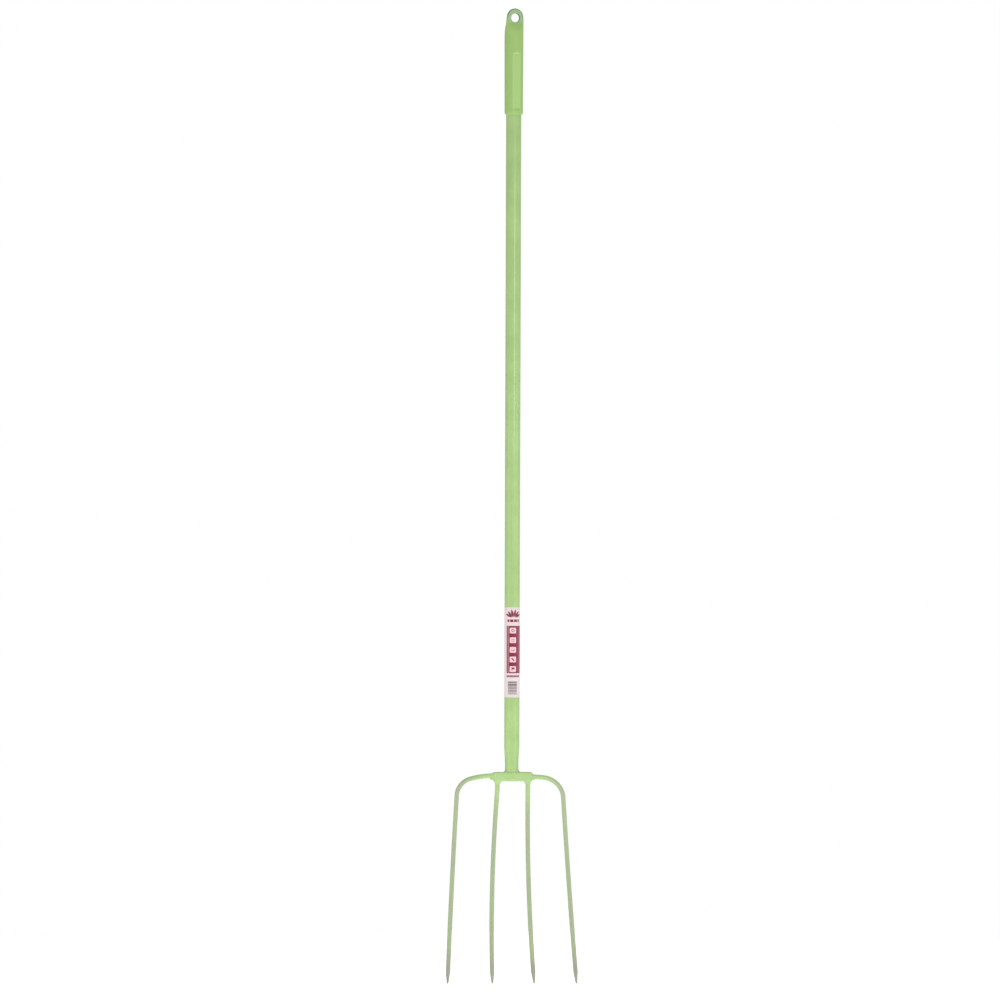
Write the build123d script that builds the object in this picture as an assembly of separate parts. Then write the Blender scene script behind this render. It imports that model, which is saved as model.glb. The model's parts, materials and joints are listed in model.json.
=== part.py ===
from build123d import *
import os
from math import cos, radians, sin, sqrt

os.makedirs("parts", exist_ok=True)

# A long-handled four-tine fork: a thin steel tube with a moulded hand grip, and a welded head of round tines.
# The row's origin is the middle of the hang hole. +Z is up along the shaft, so the fork hangs below its origin.
# -Y is the front, the side that the points curve towards, and -X is the left as seen from the front.
# Everything is built about the shaft's axis, and is moved into the row's frame as it is written.

# ---- hand grip, mm and degrees ----
grip_drop = 152.5          # hang hole down to the grip's lower end
grip_wall = 2.5            # plastic over the tube at the lower end
grip_swell = 0.5           # how much fatter the grip is at its top than at its lower end
grip_twist = 15.0          # the grip's front is turned this far towards +X from the plane of the tines
grip_clearance = 0.05      # between the tube and the grip's bore, on the radius
mouth_wall = 0.3           # plastic left at the end of the chamfered mouth
mouth_length = 4.7         # length of that chamfer along the shaft
tab_thickness = 4.5
tab_forward = 4.8          # the tab's middle plane is this far in front of the shaft's axis
tab_radius = 13.2
tab_rise = 1.5             # centre of the tab's rounded top above the hang hole
tab_foot = 8.0             # the tab's flat faces reach this far below the hang hole
front_slope = 12.0         # the slope from the tab's front face down to the grip's surface, along the shaft
back_slope = 26.0          # the same at the back, where there is further to go
hang_hole_radius = 7.0
panel_width = 13.0         # flat land let into the grip's front
panel_top_drop = 54.0
panel_length = 92.5
panel_ramp = 2.5           # the slope at each end of the land, along the shaft

# ---- shaft ----
tube_radius = 12.0
tube_wall = 1.2
tube_top_cover = 4.0       # solid plastic between the tube's top end and the foot of the back slope
head_drop = 1187.5         # hang hole down to the top of the bridge bar, where the tube stops
swage_depth = 1.3          # how much the tube's radius is reduced at its lower end
swage_length = 30.0
neck_length = 13.5         # straight reduced neck below the swage
tang_length = 58.0         # peg that stands on the bar, inside the tube
tang_clearance = 0.1       # between the tang and the neck's bore, on the radius
tang_lead = 3.0            # chamfer at the tang's end

# ---- label ----
label_length = 142.0
label_above_head = 117.5
label_thickness = 0.15
label_wrap = 300.0         # how far round the tube it goes
label_twist = 6.0          # its middle is turned this far towards +X from the front

# ---- head ----
head_offset = 1.6          # the bar's middle stands this far to +X of the shaft's axis
tine_radius = 3.7
tine_pitch = 24.1          # bar's middle to the root of each inner tine
lobe_cover = 3.3           # bar around an inner tine's root, on the radius
boss_cover = 2.9           # bar around the tube's neck, on the radius
bar_cover = 3.6            # bar above and below the tines that meet it, on the radius
bar_edge = 2.4             # rounding of the bar's edges
tine_drop = 332.0          # top of the bar down to the points
point_length = 17.0
point_end_radius = 1.1
belly_lean = 14.0          # each tine leans back by this angle at its root, and curves to the front from there
root_straight = 1.0        # straight part of an inner tine below its weld
root_bend_radius = 40.0
arm_straight = 9.0         # straight part of an outer tine's arm, from the middle of the bar's lobe
arm_droop_radius = 123.0

# ---- welds ----
weld_reach = 6.1           # how far the weld of an inner tine spreads along the bar's underside
weld_side_reach = 2.0      # how far it spreads to the front and to the back
weld_rise = 7.0            # how far it runs along the tine
arm_weld_reach = 2.4
arm_weld_rise = 4.5
neck_weld_reach = 2.3
neck_weld_rise = 6.0
weld_root = 3.0            # how far each weld fills in behind the bar's rounded edge
weld_hollow = 0.3          # how hollow its face is: where the middle lies, as a share of reach and of rise
weld_bite = 0.1            # how far its thin edge runs into the rod, which is then cut out of it
trimmer_length = 60.0      # the plug and the blocks that trim the welds are longer than any weld

# The tines are bent by hand, so each has its own bends and its own point.
# side is -1 at the left. splay is the outward lean at the root. across and forward place the point, from the
# shaft's axis. lift is how far above the bar's middle an arm is welded on. droop is how far it tilts down before
# its shoulder, and shoulder is that bend's radius.
inner_tines = {
    "inner_tine_left": dict(side=-1, splay=3.1, across=31.9, forward=29.0),
    "inner_tine_right": dict(side=1, splay=0.7, across=34.0, forward=29.0),
}
outer_tines = {
    "outer_tine_left": dict(side=-1, splay=2.1, across=102.6, forward=29.0, lift=1.2, droop=16.0, shoulder=28.5),
    "outer_tine_right": dict(side=1, splay=5.0, across=100.9, forward=29.0, lift=-0.5, droop=8.0, shoulder=35.5),
}

# ---- sizes that follow from those above ----
grip_radius = tube_radius + grip_wall
grip_top_radius = grip_radius + grip_swell
grip_bore = tube_radius + grip_clearance
tab_top_z = tab_rise + tab_radius
tab_front = tab_forward + tab_thickness / 2
tab_back = tab_forward - tab_thickness / 2
back_slope_foot_z = -tab_foot - back_slope
tube_top_z = back_slope_foot_z - tube_top_cover
neck_radius = tube_radius - swage_depth
tang_radius = neck_radius - tube_wall - tang_clearance
bar_height = 2 * (tine_radius + bar_cover)
bar_top_z = -head_drop
bar_bottom_z = bar_top_z - bar_height
arm_z = bar_top_z - bar_height / 2
lobe_radius = tine_radius + lobe_cover
boss_radius = neck_radius + boss_cover
point_z = bar_top_z - tine_drop
twist = radians(grip_twist)
shaft_in_row = Pos(-tab_forward * sin(twist), tab_forward * cos(twist), 0)


def turned(outline):
    """A solid turned about the shaft's axis from an outline of (radius, height) points."""
    corners = [(radius, 0, height) for radius, height in outline]
    return revolve(make_face(Polyline(*corners, close=True)), Axis.Z)


def lobe_x(side):
    """Where the root of the inner tine and the middle of the bar's lobe are, on one side."""
    return head_offset + side * tine_pitch


# ---- shaft, tang and label ----


def make_tube():
    """A thin tube, swaged down to a straight neck at its lower end."""
    neck_top_z = bar_top_z + neck_length
    outside = [
        (tube_radius, tube_top_z),
        (tube_radius, neck_top_z + swage_length),
        (neck_radius, neck_top_z),
        (neck_radius, bar_top_z),
    ]
    inside = [(radius - tube_wall, height) for radius, height in reversed(outside)]
    return turned(outside + inside)


def make_tang():
    """The peg that stands on the bar and fills the tube's swaged neck."""
    end_z = bar_top_z + tang_length
    return turned([
        (0, bar_top_z),
        (tang_radius, bar_top_z),
        (tang_radius, end_z - tang_lead),
        (tang_radius - tang_lead, end_z),
        (0, end_z),
    ])


def make_label():
    """A thin film round the tube, open along a strip at the back."""
    low_z = bar_top_z + label_above_head
    inner, outer = tube_radius, tube_radius + label_thickness
    corners = [(inner, low_z), (outer, low_z), (outer, low_z + label_length), (inner, low_z + label_length)]
    section = make_face(Polyline(*[(radius, 0, height) for radius, height in corners], close=True))
    front_angle = -90
    start_angle = front_angle + label_twist - label_wrap / 2
    return Rot(0, 0, start_angle) * revolve(section, Axis.Z, label_wrap)


# ---- hand grip ----


def make_grip():
    """A sleeve that is closed at its top, where it is cut down to a flat tab with the hang hole."""
    sleeve = turned([
        (grip_bore, -grip_drop),
        (grip_bore + mouth_wall, -grip_drop),
        (grip_radius, -grip_drop + mouth_length),
        (grip_top_radius, tab_top_z),
        (0, tab_top_z),
        (0, tube_top_z),
        (grip_bore, tube_top_z),
    ])
    side_view = make_face(Polyline(
        (0, -tab_front, tab_top_z),
        (0, -tab_front, -tab_foot),
        (0, -grip_top_radius, -tab_foot - front_slope),
        (0, -grip_top_radius, -grip_drop),
        (0, grip_top_radius, -grip_drop),
        (0, grip_top_radius, back_slope_foot_z),
        (0, -tab_back, -tab_foot),
        (0, -tab_back, tab_top_z),
        close=True,
    ))
    tab_end = Pos(0, tab_rise) * Circle(tab_radius)
    below_tab = grip_drop - tab_foot
    whole_width = Pos(0, -grip_drop + below_tab / 2) * Rectangle(2 * grip_top_radius, below_tab)
    front_view = Plane.XZ * make_hull(tab_end.edges() + whole_width.edges())
    grip = sleeve & extrude(side_view, grip_top_radius, both=True)
    grip = grip & extrude(front_view, grip_top_radius, both=True)
    hang_hole = Rot(90, 0, 0) * Cylinder(hang_hole_radius, 2 * grip_top_radius)
    return Rot(0, 0, grip_twist) * (grip - hang_hole - panel_cutter())


def panel_cutter():
    """What is cut away to leave the flat land on the grip's front."""
    land = sqrt(grip_radius**2 - (panel_width / 2) ** 2)
    top_z = -panel_top_drop
    low_z = top_z - panel_length
    outside = 2 * grip_top_radius
    section = make_face(Polyline(
        (0, -land, top_z - panel_ramp),
        (0, -grip_top_radius, top_z),
        (0, -outside, top_z),
        (0, -outside, low_z),
        (0, -grip_top_radius, low_z),
        (0, -land, low_z + panel_ramp),
        close=True,
    ))
    return extrude(section, grip_top_radius, both=True)


# ---- head ----


def make_bar():
    """The bridge bar: a boss under the tube, tapering to a round lobe at each end, with rounded edges."""
    boss = Pos(0, 0) * Circle(boss_radius)
    lobes = [Pos(lobe_x(side), 0) * Circle(lobe_radius) for side in (-1, 1)]
    plan = make_hull(boss.edges() + lobes[0].edges() + lobes[1].edges())
    bar = extrude(Pos(0, 0, bar_bottom_z) * plan, bar_height)
    ends = bar.faces().sort_by(Axis.Z)
    return fillet(ends[0].edges() + ends[-1].edges(), bar_edge)


def leaning(side, splay, lean):
    """The direction of a rod that runs down, out by splay and back by lean."""
    out, back = radians(splay), radians(lean)
    return Vector(side * sin(out) * cos(back), sin(back), -cos(out) * cos(back))


def bend(start, before, after, radius):
    """An arc that turns a rod from one direction to another at a bend radius."""
    turn = radians(before.get_angle(after))
    chord = (before + after).normalized() * (2 * radius * sin(turn / 2))
    return TangentArc(start, start + chord, tangent=before)


def make_rod(path, side, across, forward):
    """A round rod along a path and on along one long arc to its point, which is sharpened."""
    point = Vector(side * across, -forward, point_z)
    sweep_arc = TangentArc(path[-1] @ 1, point, tangent=path[-1] % 1).edge()
    shank = sweep_arc.trim_to_length(0, sweep_arc.length - point_length)
    centre_line = Wire([piece.edge() for piece in path] + [shank])
    section = Plane(origin=centre_line @ 0, z_dir=centre_line % 0) * Circle(tine_radius)
    sharpened = Plane(origin=centre_line @ 1, z_dir=centre_line % 1) * Cone(
        tine_radius, point_end_radius, point_length, align=(Align.CENTER, Align.CENTER, Align.MIN)
    )
    return sweep(section, path=centre_line) + sharpened


def make_inner_tine(bar, side, splay, across, forward):
    """An inner tine, straight down out of the bar's lobe before it leans back."""
    down = Vector(0, 0, -1)
    root = Line((lobe_x(side), 0, arm_z), (lobe_x(side), 0, bar_bottom_z - weld_rise - root_straight))
    lean = bend(root @ 1, down, leaning(side, splay, belly_lean), root_bend_radius)
    return make_rod([root, lean], side, across, forward) - bar


def make_outer_tine(bar, side, splay, across, forward, lift, droop, shoulder):
    """An outer tine, which leaves the bar's end as a drooping arm and turns down at its shoulder."""
    outward = Vector(side, 0, 0)
    drooping = Vector(side * cos(radians(droop)), 0, -sin(radians(droop)))
    start = Vector(lobe_x(side), 0, arm_z + lift)
    arm = Line(start, start + outward * arm_straight)
    curve = bend(arm @ 1, outward, drooping, arm_droop_radius)
    turn = bend(curve @ 1, drooping, leaning(side, splay, belly_lean), shoulder)
    return make_rod([arm, curve, turn], side, across, forward) - bar


# ---- welds ----


def fillet_weld(radius, reach, rise):
    """A weld with a hollow face round a rod that stands on a wall at height 0, before the rod is cut out of it."""
    return turned([
        (0, -weld_root),
        (radius + reach, -weld_root),
        (radius + reach, 0),
        (radius + reach * weld_hollow, rise * weld_hollow),
        (radius - weld_bite, rise),
        (0, rise),
    ])


def make_neck_weld(bar):
    """The weld between the tube's neck and the bar."""
    neck = Cylinder(neck_radius, trimmer_length)
    weld = fillet_weld(neck_radius, neck_weld_reach, neck_weld_rise)
    return Pos(0, 0, bar_top_z) * (weld - neck) - bar


def make_arm_weld(side, lift, bar, tine):
    """The weld round an outer tine's arm, at the bar's end."""
    wall = Plane(origin=(lobe_x(side) + side * lobe_radius, 0, arm_z + lift), z_dir=(side, 0, 0))
    return wall * fillet_weld(tine_radius, arm_weld_reach, arm_weld_rise) - bar - tine


def make_root_weld(side, bar, tine, arm, arm_weld):
    """The weld round the root of an inner tine, under the bar and against the weld of the arm beside it."""
    wall = Plane(origin=(lobe_x(side), 0, bar_bottom_z), x_dir=(1, 0, 0), z_dir=(0, 0, -1))
    within_bar = Box(trimmer_length, 2 * (tine_radius + weld_side_reach), trimmer_length)
    weld = wall * (fillet_weld(tine_radius, weld_reach, weld_rise) & within_bar)
    return weld - bar - tine - arm - arm_weld


bar = make_bar()
nodes = {
    "shaft_tube": make_tube(),
    "hand_grip": make_grip(),
    "label": make_label(),
    "tang": make_tang(),
    "bridge_bar": bar,
    "neck_weld": make_neck_weld(bar),
}
for name, bends in inner_tines.items():
    nodes[name] = make_inner_tine(bar, **bends)
for name, bends in outer_tines.items():
    nodes[name] = make_outer_tine(bar, **bends)
for side, hand in ((-1, "left"), (1, "right")):
    arm = nodes[f"outer_tine_{hand}"]
    arm_weld = make_arm_weld(side, outer_tines[f"outer_tine_{hand}"]["lift"], bar, arm)
    nodes[f"outer_tine_{hand}_weld"] = arm_weld
    nodes[f"inner_tine_{hand}_weld"] = make_root_weld(side, bar, nodes[f"inner_tine_{hand}"], arm, arm_weld)

for name, solid in nodes.items():
    export_step(shaft_in_row * solid, f"parts/{name}.step")
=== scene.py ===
"""A long-handled fork with four round tines, as a powder-coated steel tool with a moulded grip and a printed label.

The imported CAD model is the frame. Every visible part is a finer surface that stands for its CAD node, and its place
comes from that node. Sizes in the classes are in millimetres and degrees, and a mesh is made in metres.
-Y is the front, +Z is up along the shaft, and the shaft's axis is the middle of the CAD tube.
"""

import json
import logging
import math
from dataclasses import dataclass, field
from enum import Enum

import bmesh
import bpy
import numpy as np
from mathutils import Matrix, Vector


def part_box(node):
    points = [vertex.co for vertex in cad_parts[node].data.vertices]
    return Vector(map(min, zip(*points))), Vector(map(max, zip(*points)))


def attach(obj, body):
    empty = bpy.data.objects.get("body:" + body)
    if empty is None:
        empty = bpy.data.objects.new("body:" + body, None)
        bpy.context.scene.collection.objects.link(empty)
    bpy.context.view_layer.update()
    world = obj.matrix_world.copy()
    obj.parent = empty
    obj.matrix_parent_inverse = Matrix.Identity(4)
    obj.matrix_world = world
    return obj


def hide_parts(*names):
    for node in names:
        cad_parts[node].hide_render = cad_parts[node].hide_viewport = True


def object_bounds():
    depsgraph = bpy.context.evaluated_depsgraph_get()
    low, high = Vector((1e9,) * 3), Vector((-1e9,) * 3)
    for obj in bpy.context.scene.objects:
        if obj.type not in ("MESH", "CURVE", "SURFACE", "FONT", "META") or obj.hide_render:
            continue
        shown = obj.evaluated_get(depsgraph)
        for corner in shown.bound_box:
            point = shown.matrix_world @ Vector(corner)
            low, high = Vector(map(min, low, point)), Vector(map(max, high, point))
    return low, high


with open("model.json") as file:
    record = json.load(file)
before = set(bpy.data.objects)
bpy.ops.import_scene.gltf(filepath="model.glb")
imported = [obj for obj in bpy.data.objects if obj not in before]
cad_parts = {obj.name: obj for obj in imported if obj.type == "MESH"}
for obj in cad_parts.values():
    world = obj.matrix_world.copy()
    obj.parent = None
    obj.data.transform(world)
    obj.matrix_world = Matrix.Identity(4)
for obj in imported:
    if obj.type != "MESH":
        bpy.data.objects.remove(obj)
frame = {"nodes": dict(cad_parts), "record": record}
cad_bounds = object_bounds()

LOG = logging.getLogger("fork")
MM = 0.001
FULL_TURN = 2.0 * math.pi
Points = np.ndarray
Piece = bpy.types.Object
Material = bpy.types.Material
Inputs = dict[int | str, object]

# Places of the sockets of a colour Mix node, whose names repeat for each of its data types.
MIX_FACTOR, MIX_A, MIX_B, MIX_RESULT = 0, 6, 7, 2
# Almost all the values of a noise texture are between these.
NOISE_LOW, NOISE_HIGH = 0.3, 0.7


# ---- Meshes ----


class Ends(Enum):
    """How the first and the last ring of a skin are closed."""

    FAN = "each end ring is closed by a fan to its middle"
    JOINED = "the last ring joins the first"
    PINCHED = "each end ring is folded flat on itself, and its doubles are merged"


class Side(Enum):
    """The left and the right of the head, as seen from the front."""

    LEFT = -1
    RIGHT = 1


def eased(low: float, high: float, value: Points) -> Points:
    """Rises from 0 at low to 1 at high along three times the square less twice the cube of the share between them.

    Args:
        low: Where the rise starts.
        high: Where it ends. It may be less than low.
        value: Any values.

    Returns:
        The rise, with the shape of value.
    """
    share = np.clip((value - low) / (high - low), 0.0, 1.0)
    return share * share * (3.0 - 2.0 * share)


def ripple(seed: int, position: Points, wavelength: float) -> Points:
    """A smooth uneven wave along one length: the mean of three sines of unrelated lengths and seeded phases.

    Args:
        seed: Sets the phases.
        position: Where the wave is wanted.
        wavelength: The longest of the three waves.

    Returns:
        Values between -1 and 1, with the shape of position.
    """
    phases = np.random.default_rng(seed).uniform(0.0, FULL_TURN, 3)
    lengths = wavelength / np.array([1.0, 1.618, 2.414])
    waves = np.sin(FULL_TURN * position[..., None] / lengths + phases)
    return waves.mean(axis=-1)


def angles_round(columns: int) -> Points:
    """Angles spread evenly over a full turn, from 0."""
    return np.linspace(0.0, FULL_TURN, columns, endpoint=False)


def rings_around(radius: Points, height: Points, columns: int) -> Points:
    """Turns an outline about the Z axis: x is radius times sine, y is minus radius times cosine, z is height.

    Args:
        radius: One radius for each row.
        height: One height for each row.
        columns: How many points go round.

    Returns:
        Points of shape (rows, columns, 3). Column 0 is at the front.
    """
    angle = angles_round(columns)
    radius, height = radius[:, None], np.broadcast_to(height[:, None], (len(height), columns))
    return np.stack([radius * np.sin(angle), -radius * np.cos(angle), height], axis=-1)


def shade_smooth(mesh: bpy.types.Mesh, crease: float) -> None:
    """Shades a mesh smooth, but for the edges that turn by more than the crease's angle in degrees."""
    mesh.polygons.foreach_set("use_smooth", np.ones(len(mesh.polygons), bool))
    mesh.set_sharp_from_angle(angle=math.radians(crease))


def skin(
    name: str,
    rings: Points,
    ends: Ends = Ends.FAN,
    attributes: dict[str, Points] | None = None,
    crease: float = 40.0,
) -> Piece:
    """Makes a closed smooth mesh from rings of points, with its faces outwards.

    Each point joins the next in its ring and the same one in the next ring. The signed volume, a sixth of the sum
    of the triple products of the faces' corners, says whether the faces have to be turned round.

    Args:
        name: The piece's name.
        rings: Points in millimetres, of shape (rings, points in a ring, 3).
        ends: How the end rings are closed.
        attributes: Values for each point of the rings, to be kept with the mesh under their names.
        crease: Edges that turn by more than this angle in degrees stay sharp.

    Returns:
        The new object, at the origin.
    """
    rows, columns = rings.shape[:2]
    index = np.arange(rows * columns).reshape(rows, columns)
    points = rings.reshape(-1, 3) * MM
    fans = np.empty((0, 3), int)
    if ends is Ends.JOINED:
        index = np.vstack([index, index[:1]])
    beside = np.roll(index, -1, axis=1)
    if ends is Ends.FAN:
        first, last = np.full(columns, len(points)), np.full(columns, len(points) + 1)
        points = np.vstack([points, rings[0].mean(axis=0) * MM, rings[-1].mean(axis=0) * MM])
        fans = np.vstack([
            np.stack([beside[0], index[0], first], axis=-1),
            np.stack([index[-1], beside[-1], last], axis=-1),
        ])
    quads = np.stack([index[:-1], beside[:-1], beside[1:], index[1:]], axis=-1).reshape(-1, 4)
    corners = points[np.vstack([quads[:, [0, 1, 2]], quads[:, [0, 2, 3]], fans])]
    volume = np.einsum("ij,ij->i", corners[:, 0], np.cross(corners[:, 1], corners[:, 2])).sum()
    turn = -1 if volume < 0.0 else 1
    mesh = bpy.data.meshes.new(name)
    mesh.from_pydata(points.tolist(), [], quads[:, ::turn].tolist() + fans[:, ::turn].tolist())
    for label, values in (attributes or {}).items():
        padded = np.zeros(len(points), np.float32)
        padded[: values.size] = values.ravel()
        mesh.attributes.new(label, "FLOAT", "POINT").data.foreach_set("value", padded)
    if ends is Ends.PINCHED:
        shell = bmesh.new()
        shell.from_mesh(mesh)
        bmesh.ops.remove_doubles(shell, verts=shell.verts, dist=1e-3 * MM)
        shell.to_mesh(mesh)
        shell.free()
    shade_smooth(mesh, crease)
    made = bpy.data.objects.new(name, mesh)
    bpy.context.scene.collection.objects.link(made)
    return made


def cut_out(piece: Piece, cutter: Piece, crease: float) -> None:
    """Cuts a closed cutter out of a piece, for good, and deletes the cutter.

    Args:
        piece: The piece to cut.
        cutter: What is taken away.
        crease: Edges that turn by more than this angle in degrees stay sharp.
    """
    boolean = piece.modifiers.new("cut", "BOOLEAN")
    boolean.object = cutter
    boolean.operation = "DIFFERENCE"
    boolean.solver = "EXACT"
    evaluated = piece.evaluated_get(bpy.context.evaluated_depsgraph_get())
    cut = bpy.data.meshes.new_from_object(evaluated)
    piece.modifiers.clear()
    piece.data = cut
    shade_smooth(cut, crease)
    bpy.data.objects.remove(cutter)


# ---- Finishes ----


def linear(colour: str) -> tuple[float, float, float, float]:
    """Turns an sRGB hex colour, such as "#a8c789", to linear light with full alpha."""
    shares = np.array([int(colour[i : i + 2], 16) for i in (1, 3, 5)]) / 255.0
    light = np.where(shares <= 0.04045, shares / 12.92, ((shares + 0.055) / 1.055) ** 2.4)
    return (*light.tolist(), 1.0)


def add(tree: bpy.types.NodeTree, kind: str, inputs: Inputs | None = None, **settings: object) -> bpy.types.Node:
    """Adds one node, with its settings, socket values and links.

    Args:
        tree: The node tree that it goes in.
        kind: Blender's name for this kind of node.
        inputs: For each socket's name or place, the value it has or the socket that feeds it.
        **settings: The node's own properties.

    Returns:
        The new node.
    """
    made = tree.nodes.new(kind)
    for key, value in settings.items():
        setattr(made, key, value)
    for socket, value in (inputs or {}).items():
        if isinstance(value, bpy.types.NodeSocket):
            tree.links.new(value, made.inputs[socket])
        else:
            made.inputs[socket].default_value = value
    return made


def per_metre(size_mm: float) -> float:
    """The scale of a texture whose features are this many millimetres across."""
    return 1.0 / (size_mm * MM)


@dataclass(frozen=True)
class Finish:
    """What all finishes share: a name, and the start of a new material of that name."""

    name: str

    def start(self) -> tuple[Material, bpy.types.NodeTree, bpy.types.NodeSocket]:
        """Makes the material, and gives it with its cleared tree and the socket of each point's place."""
        material = bpy.data.materials.new(self.name)
        material.use_nodes = True
        tree = material.node_tree
        tree.nodes.clear()
        return material, tree, add(tree, "ShaderNodeTexCoord").outputs["Object"]


@dataclass(frozen=True)
class PowderCoatedSteel(Finish):
    """Polyester powder sprayed on dry and baked on steel.

    To the eye: an even satin paint with the shallow waves of orange peel, faint cloudiness where the film is thicker
    or thinner, handling rubs that run along the tool, a grey-brown film of dried soil where it goes into the ground,
    and grey steel where the ground has worn the paint through.
    """

    colour: str = "#b2d38b"
    thin_colour: str = "#a8c981"
    rubbed_colour: str = "#bdd69f"
    steel_colour: str = "#9b9d95"
    soil_colour: str = "#9d9e8f"
    roughness: float = 0.26
    polish: float = 0.06
    # The rub noise starts to show at the first of these and shows most at the second.
    rub_range: tuple[float, float] = (0.56, 0.78)
    most_rubbed: float = 0.4
    # Wear and chips together: the paint starts to go at the first of these and is gone at the second.
    bare_range: tuple[float, float] = (0.98, 1.14)
    cloud_mm: float = 38.0
    # Orange peel is 2 to 3 mm from crest to crest. It is drawn at 5 mm, which is as fine as the render can show.
    peel_mm: float = 5.0
    peel_height_mm: float = 0.05
    # A rub is 3 to 4 mm wide and runs along the tool.
    rub_mm: float = 3.5
    rub_stretch: float = 0.045
    # Chips of the paint at a worn point are about 3 mm across.
    chip_mm: float = 3.0

    def material(self) -> Material:
        """Builds the material. A mesh can have attributes for how worn and how soiled each place is."""
        material, tree, place = self.start()
        cloud = add(tree, "ShaderNodeTexNoise", {
            "Vector": place, "Scale": per_metre(self.cloud_mm), "Detail": 3.0, "Roughness": 0.55,
        })
        film = add(tree, "ShaderNodeValToRGB", {"Fac": cloud.outputs["Fac"]})
        film.color_ramp.elements[0].position, film.color_ramp.elements[1].position = 0.32, 0.68
        film.color_ramp.elements[0].color = linear(self.thin_colour)
        film.color_ramp.elements[1].color = linear(self.colour)
        along = add(tree, "ShaderNodeMapping", {"Vector": place, "Scale": (1.0, 1.0, self.rub_stretch)})
        rubs = add(tree, "ShaderNodeTexNoise", {
            "Vector": along.outputs["Vector"], "Scale": per_metre(self.rub_mm), "Detail": 4.0, "Roughness": 0.6,
        })
        rubbed = add(tree, "ShaderNodeMapRange", {
            "Value": rubs.outputs["Fac"], "From Min": self.rub_range[0], "From Max": self.rub_range[1],
            "To Min": 0.0, "To Max": self.most_rubbed,
        })
        paint = add(tree, "ShaderNodeMix", {
            MIX_FACTOR: rubbed.outputs["Result"], MIX_A: film.outputs["Color"], MIX_B: linear(self.rubbed_colour),
        }, data_type="RGBA")

        wear = add(tree, "ShaderNodeAttribute", attribute_name="wear", attribute_type="GEOMETRY")
        chips = add(tree, "ShaderNodeTexNoise", {
            "Vector": place, "Scale": per_metre(self.chip_mm), "Detail": 5.0, "Roughness": 0.65,
        })
        threshold = add(tree, "ShaderNodeMath", {
            0: wear.outputs["Fac"], 1: chips.outputs["Fac"],
        }, operation="ADD")
        bare = add(tree, "ShaderNodeMapRange", {
            "Value": threshold.outputs["Value"], "From Min": self.bare_range[0], "From Max": self.bare_range[1],
        })
        soil = add(tree, "ShaderNodeAttribute", attribute_name="soil", attribute_type="GEOMETRY")
        stains = add(tree, "ShaderNodeMapRange", {
            "Value": cloud.outputs["Fac"], "From Min": NOISE_LOW, "From Max": NOISE_HIGH, "To Min": 0.7, "To Max": 1.3,
        })
        soiled = add(tree, "ShaderNodeMath", {
            0: soil.outputs["Fac"], 1: stains.outputs["Result"],
        }, operation="MULTIPLY", use_clamp=True)
        dirty = add(tree, "ShaderNodeMix", {
            MIX_FACTOR: soiled.outputs["Value"], MIX_A: paint.outputs[MIX_RESULT], MIX_B: linear(self.soil_colour),
        }, data_type="RGBA")
        seen = add(tree, "ShaderNodeMix", {
            MIX_FACTOR: bare.outputs["Result"], MIX_A: dirty.outputs[MIX_RESULT], MIX_B: linear(self.steel_colour),
        }, data_type="RGBA")
        peel = add(tree, "ShaderNodeTexNoise", {
            "Vector": place, "Scale": per_metre(self.peel_mm), "Detail": 2.0, "Roughness": 0.45,
        })
        waves = add(tree, "ShaderNodeBump", {
            "Height": peel.outputs["Fac"], "Strength": 0.6, "Distance": self.peel_height_mm * MM,
        })
        relief = add(tree, "ShaderNodeBump", {
            "Height": bare.outputs["Result"], "Strength": 0.8, "Distance": self.peel_height_mm * MM,
            "Normal": waves.outputs["Normal"],
        }, invert=True)
        roughness = add(tree, "ShaderNodeMapRange", {
            "Value": rubs.outputs["Fac"], "From Min": NOISE_LOW, "From Max": NOISE_HIGH,
            "To Min": self.roughness + self.polish, "To Max": self.roughness - self.polish,
        })
        shader = add(tree, "ShaderNodeBsdfPrincipled", {
            "Base Color": seen.outputs[MIX_RESULT], "Roughness": roughness.outputs["Result"],
            "Metallic": bare.outputs["Result"], "Normal": relief.outputs["Normal"], "Specular IOR Level": 0.45,
        })
        add(tree, "ShaderNodeOutputMaterial", {"Surface": shader.outputs["BSDF"]})
        return material


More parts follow.
